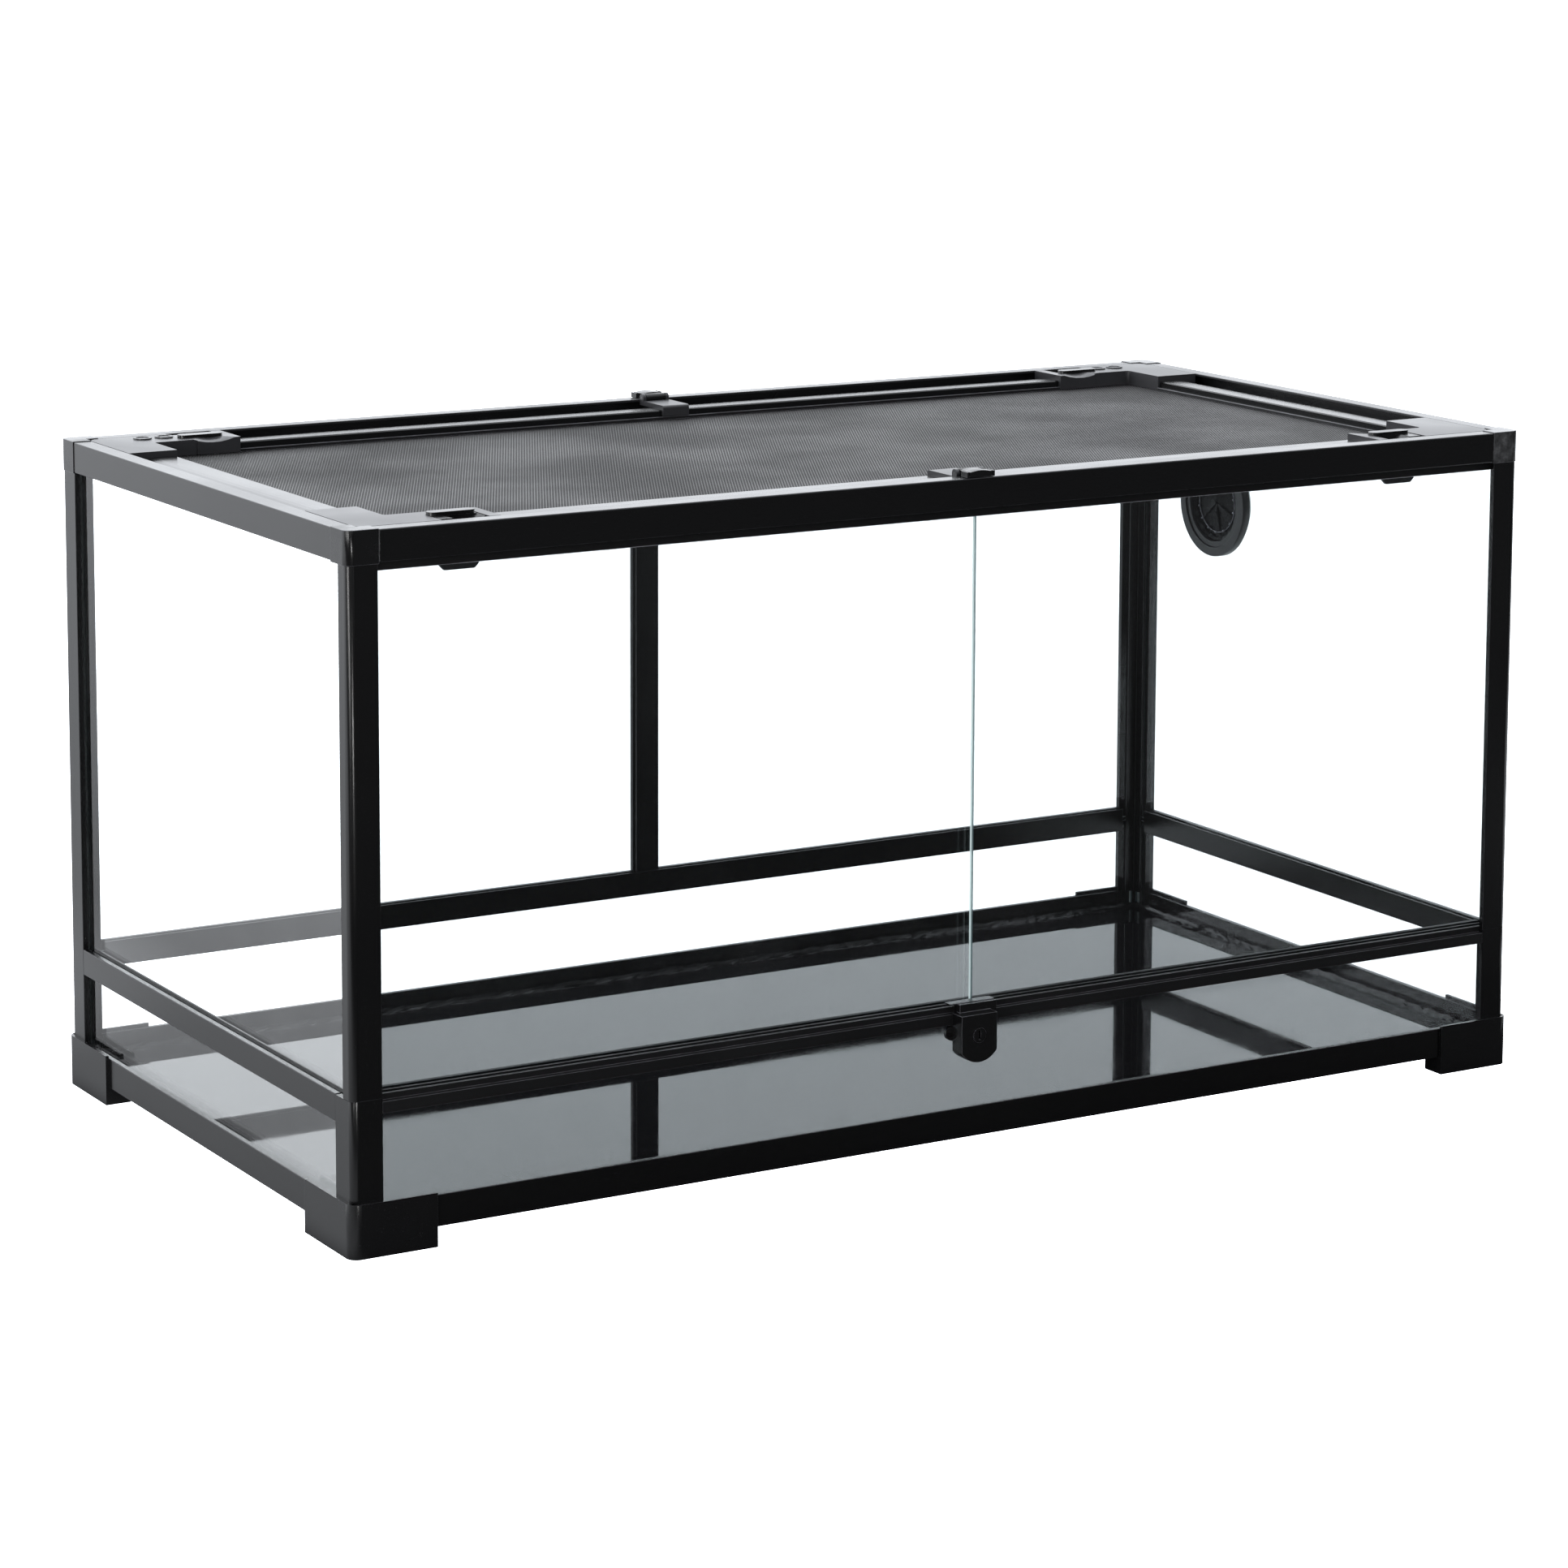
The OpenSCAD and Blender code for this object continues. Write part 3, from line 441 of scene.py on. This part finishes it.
def dress_pane(name, obj):
    """Clear faces and edges, told apart by the pane's thin direction."""
    places = [vertex.co for vertex in obj.data.vertices]
    spans = [(min(place[axis] for place in places), max(place[axis] for place in places))
             for axis in (X, Y, Z)]
    thin = min((X, Y, Z), key=lambda axis: spans[axis][1] - spans[axis][0])
    obj.data.materials.append(FRONT_GLASS if name in FRONT_PANES else CLEAR)
    obj.data.materials.append(glass_edge(name, thin, *spans[thin]))
    for polygon in obj.data.polygons:
        polygon.material_index = 0 if abs(polygon.normal[thin]) > SQUARE_TO_PANE else 1


def soften(obj, width):
    """Rounds the edges of a CAD node for the light to catch. Its vertices are joined first, since
    edges that no two faces share aren't bevelled."""
    weld = obj.modifiers.new("joined", "WELD")
    weld.merge_threshold = WELD_DISTANCE
    bevel = obj.modifiers.new("edges", "BEVEL")
    bevel.width = width
    bevel.segments = 2
    bevel.limit_method = "ANGLE"
    bevel.angle_limit = EDGE_ANGLE
    # Bevelled faces take the node's second material: edge paint lighter than the finish, a painted
    # highlight.
    bevel.material = 1
    bevel.use_clamp_overlap = not obj.name.startswith(FREE_EDGES)


def dress_nodes():
    for name, obj in nodes.items():
        obj.data.materials.clear()
        if is_clear_pane(name):
            dress_pane(name, obj)
            continue
        _, finish, edge, width = next(row for row in DRESS if name.startswith(row[0]))
        obj.data.materials.append(finish)
        if name not in PLAIN_NODES:
            obj.data.materials.append(edge)
            soften(obj, width * MM)


# ---- lid mesh --------------------------------------------------------------------------

STRAND_SLOPE = math.radians(62.8)
STRAND_PITCH = 1.865 * MM
STRAND_W, STRAND_T = 0.80 * MM, 0.44 * MM
STRAND_DROP = 0.03 * MM
SHORTEST_STRAND = 2 * MM
# Across and up, as shares of half the strand's width and thickness.
STRAND_PROFILE = [(1, 0), (0.45, 1), (-0.45, 1), (-1, 0), (-0.45, -1), (0.45, -1)]
# Further along a line, in metres, than the lid reaches.
BEYOND = 9.0


def clipped(place, way, low, high):
    """The part of a line, in the plane, that lies within a box; None where it misses."""
    start, end = -BEYOND, BEYOND
    for axis in (X, Y):
        near = (low[axis] - place[axis]) / way[axis]
        far = (high[axis] - place[axis]) / way[axis]
        start, end = max(start, min(near, far)), min(end, max(near, far))
    return (start, end) if end - start > SHORTEST_STRAND else None


def add_strand(bm, start, end):
    """A flat six-sided strand with a narrow top."""
    side = (end - start).normalized().cross(Vector((0, 0, 1)))
    first, last = [
        [bm.verts.new(centre + side * (a * STRAND_W / 2) + Vector((0, 0, b * STRAND_T / 2)))
         for a, b in STRAND_PROFILE] for centre in (start, end)]
    for i in range(len(STRAND_PROFILE)):
        j = (i + 1) % len(STRAND_PROFILE)
        bm.faces.new((first[i], first[j], last[j], last[i]))
    bm.faces.new(first[::-1])
    bm.faces.new(last)


def finish_mesh(name, bm, material, body):
    """Makes the piece, with its material and the body it rides on."""
    bmesh.ops.recalc_face_normals(bm, faces=bm.faces)
    mesh = bpy.data.meshes.new(name)
    bm.to_mesh(mesh)
    bm.free()
    obj = bpy.data.objects.new(name, mesh)
    bpy.context.scene.collection.objects.link(obj)
    mesh.materials.append(material)
    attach(obj, body)
    return obj


def add_lid_mesh():
    """A diamond mesh: two families of strands, mirrored about the front-to-back line."""
    low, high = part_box("lid_mesh")
    centre = (low + high) / 2
    count = int((high - low).length / 2 / STRAND_PITCH)
    bm = bmesh.new()
    for slope, drop in ((STRAND_SLOPE, 0.0), (-STRAND_SLOPE, STRAND_DROP)):
        way = Vector((math.cos(slope), math.sin(slope), 0))
        across = Vector((-way.y, way.x, 0))
        for i in range(-count, count + 1):
            place = centre + across * (i * STRAND_PITCH) - Vector((0, 0, drop))
            span = clipped(place, way, low, high)
            if span:
                add_strand(bm, place + way * span[0], place + way * span[1])
    mesh = finish_mesh("lid_mesh_strands", bm, WIRE, "lid")
    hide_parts("lid_mesh")


# ---- port membrane ---------------------------------------------------------------------
# The port's axis runs along x. The cabin is towards smaller x, so what stands out from the
# membrane's back has a smaller x. The insets are from its rim towards its axis.

INSIDE_BOX = 0.1 * MM
PETALS = 6
PETAL_TURN = 0.35
PETAL_STEPS = 8
PETAL_SHARES = (0.3, 0.65, 1.0)
PETAL_INSET, PETAL_BASE, PETAL_TIP = 1.2 * MM, 0.8 * MM, 0.8 * MM
PETAL_LIFT, PETAL_SKIN, PETAL_DROOP = 1.6 * MM, 0.3 * MM, 1.25
DISC_HOLE, DISC_INSET, DISC_DEPTH = 0.2 * MM, 1 * MM, 0.7 * MM
LIP_INSET, LIP_CREST, LIP_RIM = 3.2 * MM, 1.0 * MM, 0.2 * MM
LIP_STEP, LIP_FALL = 1.2 * MM, 0.4 * MM
LIP_WAVE = 1.3 * MM
KNOBS = 14
KNOB_RADIUS = 1.0 * MM
KNOB_RISE = 2.7 * MM
RIDGE_INSET = 7 * MM
RIDGE_HALF, RIDGE_FOOT, RIDGE_TOP = 0.4 * MM, 1.8 * MM, 2.6 * MM
STEPS_PER_KNOB = 8


def ring_point(centre, turn, radius, x):
    return Vector((x, centre.y + radius * math.cos(turn), centre.z + radius * math.sin(turn)))


def add_ring(bm, centre, profile, wave=0.0):
    """A closed ring about the port's axis from (radius, x) pairs; wave scallops its inner edge."""
    steps = KNOBS * STEPS_PER_KNOB
    inner = min(radius for radius, _ in profile)
    rows = []
    for i in range(steps):
        turn = math.tau * i / steps
        ripple = wave * max(0.0, math.cos(KNOBS * turn))
        rows.append([bm.verts.new(ring_point(centre, turn, r - ripple * (r == inner), x))
                     for r, x in profile])
    for i, row in enumerate(rows):
        after = rows[(i + 1) % steps]
        for j in range(len(profile)):
            k = (j + 1) % len(profile)
            bm.faces.new((row[j], row[k], after[k], after[j]))


def add_petal(bm, centre, start, radius, base):
    """One flap of the membrane: its tip and one edge stand up a little over the next flap."""
    tip = bm.verts.new(ring_point(centre, start, PETAL_TIP, base - PETAL_LIFT))
    under = bm.verts.new(ring_point(centre, start, PETAL_TIP, base))
    top, low = [], []
    for i in range(PETAL_STEPS + 1):
        turn = start + math.tau / PETALS * i / PETAL_STEPS
        height = PETAL_LIFT * (1 - i / PETAL_STEPS) ** 2
        top.append([bm.verts.new(ring_point(
            centre, turn, radius * share, base - height * (PETAL_DROOP - share) - PETAL_SKIN))
            for share in PETAL_SHARES])
        low.append([bm.verts.new(ring_point(centre, turn, radius * share, base))
                    for share in PETAL_SHARES])
    for i in range(PETAL_STEPS):
        bm.faces.new((tip, top[i][0], top[i + 1][0]))
        bm.faces.new((under, low[i + 1][0], low[i][0]))
        for j in (0, 1):
            bm.faces.new((top[i][j], top[i][j + 1], top[i + 1][j + 1], top[i + 1][j]))
            bm.faces.new((low[i][j], low[i + 1][j], low[i + 1][j + 1], low[i][j + 1]))
        bm.faces.new((top[i][2], low[i][2], low[i + 1][2], top[i + 1][2]))
    for side in (0, PETAL_STEPS):
        bm.faces.new([tip] + top[side] + low[side][::-1] + [under])


def fix_face_order(bm):
    """Sorts the faces, because create_uvsphere lists them in another order each run."""
    bm.verts.index_update()
    base = len(bm.verts)

    def rank(face):
        first, second, third = sorted(vert.index for vert in face.verts)[:3]
        return (first * base + second) * base + third

    bm.faces.sort(key=rank)


def add_port_membrane():
    """Six dark flaps inside a scalloped lip, and a ring of knobs and a ridge painted near white,
    painted highlights.
    """
    low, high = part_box("port_membrane")
    centre = (low + high) / 2
    radius = (high.y - low.y) / 2
    back = high.x - INSIDE_BOX
    front = low.x + INSIDE_BOX
    disc = back - DISC_DEPTH
    ridge = radius - RIDGE_INSET

    bm = bmesh.new()
    for i in range(PETALS):
        turn = math.tau * (i + PETAL_TURN) / PETALS
        add_petal(bm, centre, turn, radius - PETAL_INSET, back - PETAL_BASE)
    add_ring(bm, centre, [(DISC_HOLE, disc), (radius - DISC_INSET, disc),
                          (radius - DISC_INSET, back), (DISC_HOLE, back)])
    add_ring(bm, centre, [(radius - LIP_INSET, front + LIP_STEP), (radius - LIP_CREST, front),
                          (radius - LIP_RIM, front + LIP_FALL), (radius - LIP_RIM, back)], LIP_WAVE)
    flaps = finish_mesh("membrane_flaps", bm, MEMBRANE, "root")
    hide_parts("port_membrane")

    bm = bmesh.new()
    for i in range(KNOBS):
        spot = ring_point(centre, math.tau * (i + 0.5) / KNOBS, ridge, back - KNOB_RISE)
        bmesh.ops.create_uvsphere(bm, u_segments=12, v_segments=8, radius=KNOB_RADIUS,
                                  matrix=Matrix.Translation(spot))
    add_ring(bm, centre, [(ridge - RIDGE_HALF, back - RIDGE_FOOT), (ridge, back - RIDGE_TOP),
                          (ridge + RIDGE_HALF, back - RIDGE_FOOT)])
    fix_face_order(bm)
    knobs = finish_mesh("membrane_knobs", bm, PALE_PAINTED_HIGHLIGHT, "root")
    knobs.data.shade_smooth()


# ---- silicone --------------------------------------------------------------------------

BEAD_WIDTH, BEAD_HEIGHT = 3.0 * MM, 3.2 * MM
BEAD_STEP = 6 * MM
BEAD_WIDTHS, BEAD_HEIGHTS = (0.75, 1.25), (0.75, 1.3)
BEAD_HOLLOW = 0.42


def add_bead(name, start, end, inward, seed):
    """A hand-smoothed fillet along a joint: its two edges wander a little."""
    rng = random.Random(seed)
    start, end, inward = Vector(start), Vector(end), Vector(inward)
    steps = max(2, int((end - start).length / BEAD_STEP))
    bm = bmesh.new()
    rows = []
    for i in range(steps + 1):
        corner = start.lerp(end, i / steps)
        width = BEAD_WIDTH * rng.uniform(*BEAD_WIDTHS)
        height = BEAD_HEIGHT * rng.uniform(*BEAD_HEIGHTS)
        middle = corner + inward * width * BEAD_HOLLOW + Vector((0, 0, height * BEAD_HOLLOW))
        rows.append([bm.verts.new(place) for place in (
            corner, corner + inward * width, middle, corner + Vector((0, 0, height)))])
    for row, after in zip(rows, rows[1:]):
        for j in range(4):
            k = (j + 1) % 4
            bm.faces.new((row[j], row[k], after[k], after[j]))
    bm.faces.new(rows[0])
    bm.faces.new(rows[-1][::-1])
    finish_mesh(name, bm, SILICONE, "root")


def add_beads():
    """Beads where the lower panes meet the floor pane."""
    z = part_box("floor_pane")[1].z
    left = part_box("lower_pane_left")[1].x
    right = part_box("lower_pane_right")[0].x
    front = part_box("lower_pane_front")[1].y
    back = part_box("lower_pane_back")[0].y
    for seed, (side, start, end, inward) in enumerate((
            ("front", (left, front, z), (right, front, z), (0, 1, 0)),
            ("back", (left, back, z), (right, back, z), (0, -1, 0)),
            ("left", (left, front, z), (left, back, z), (1, 0, 0)),
            ("right", (right, front, z), (right, back, z), (-1, 0, 0))), start=1):
        add_bead("silicone_" + side, start, end, inward, seed)


bpy.context.scene.view_settings.view_transform = "Standard"
add_camera()
add_world()
add_floor()
add_light("strip", (-2.2, -1.25, 0.75), (-0.45, -0.22, 0.3), 0.22, 1.5, 12)
add_light("glint", (-0.66, -1.5, 0.26), (-0.46, -0.23, 0.43), 0.07, 0.12, 2.2)
dress_nodes()
add_lid_mesh()
add_port_membrane()
add_beads()
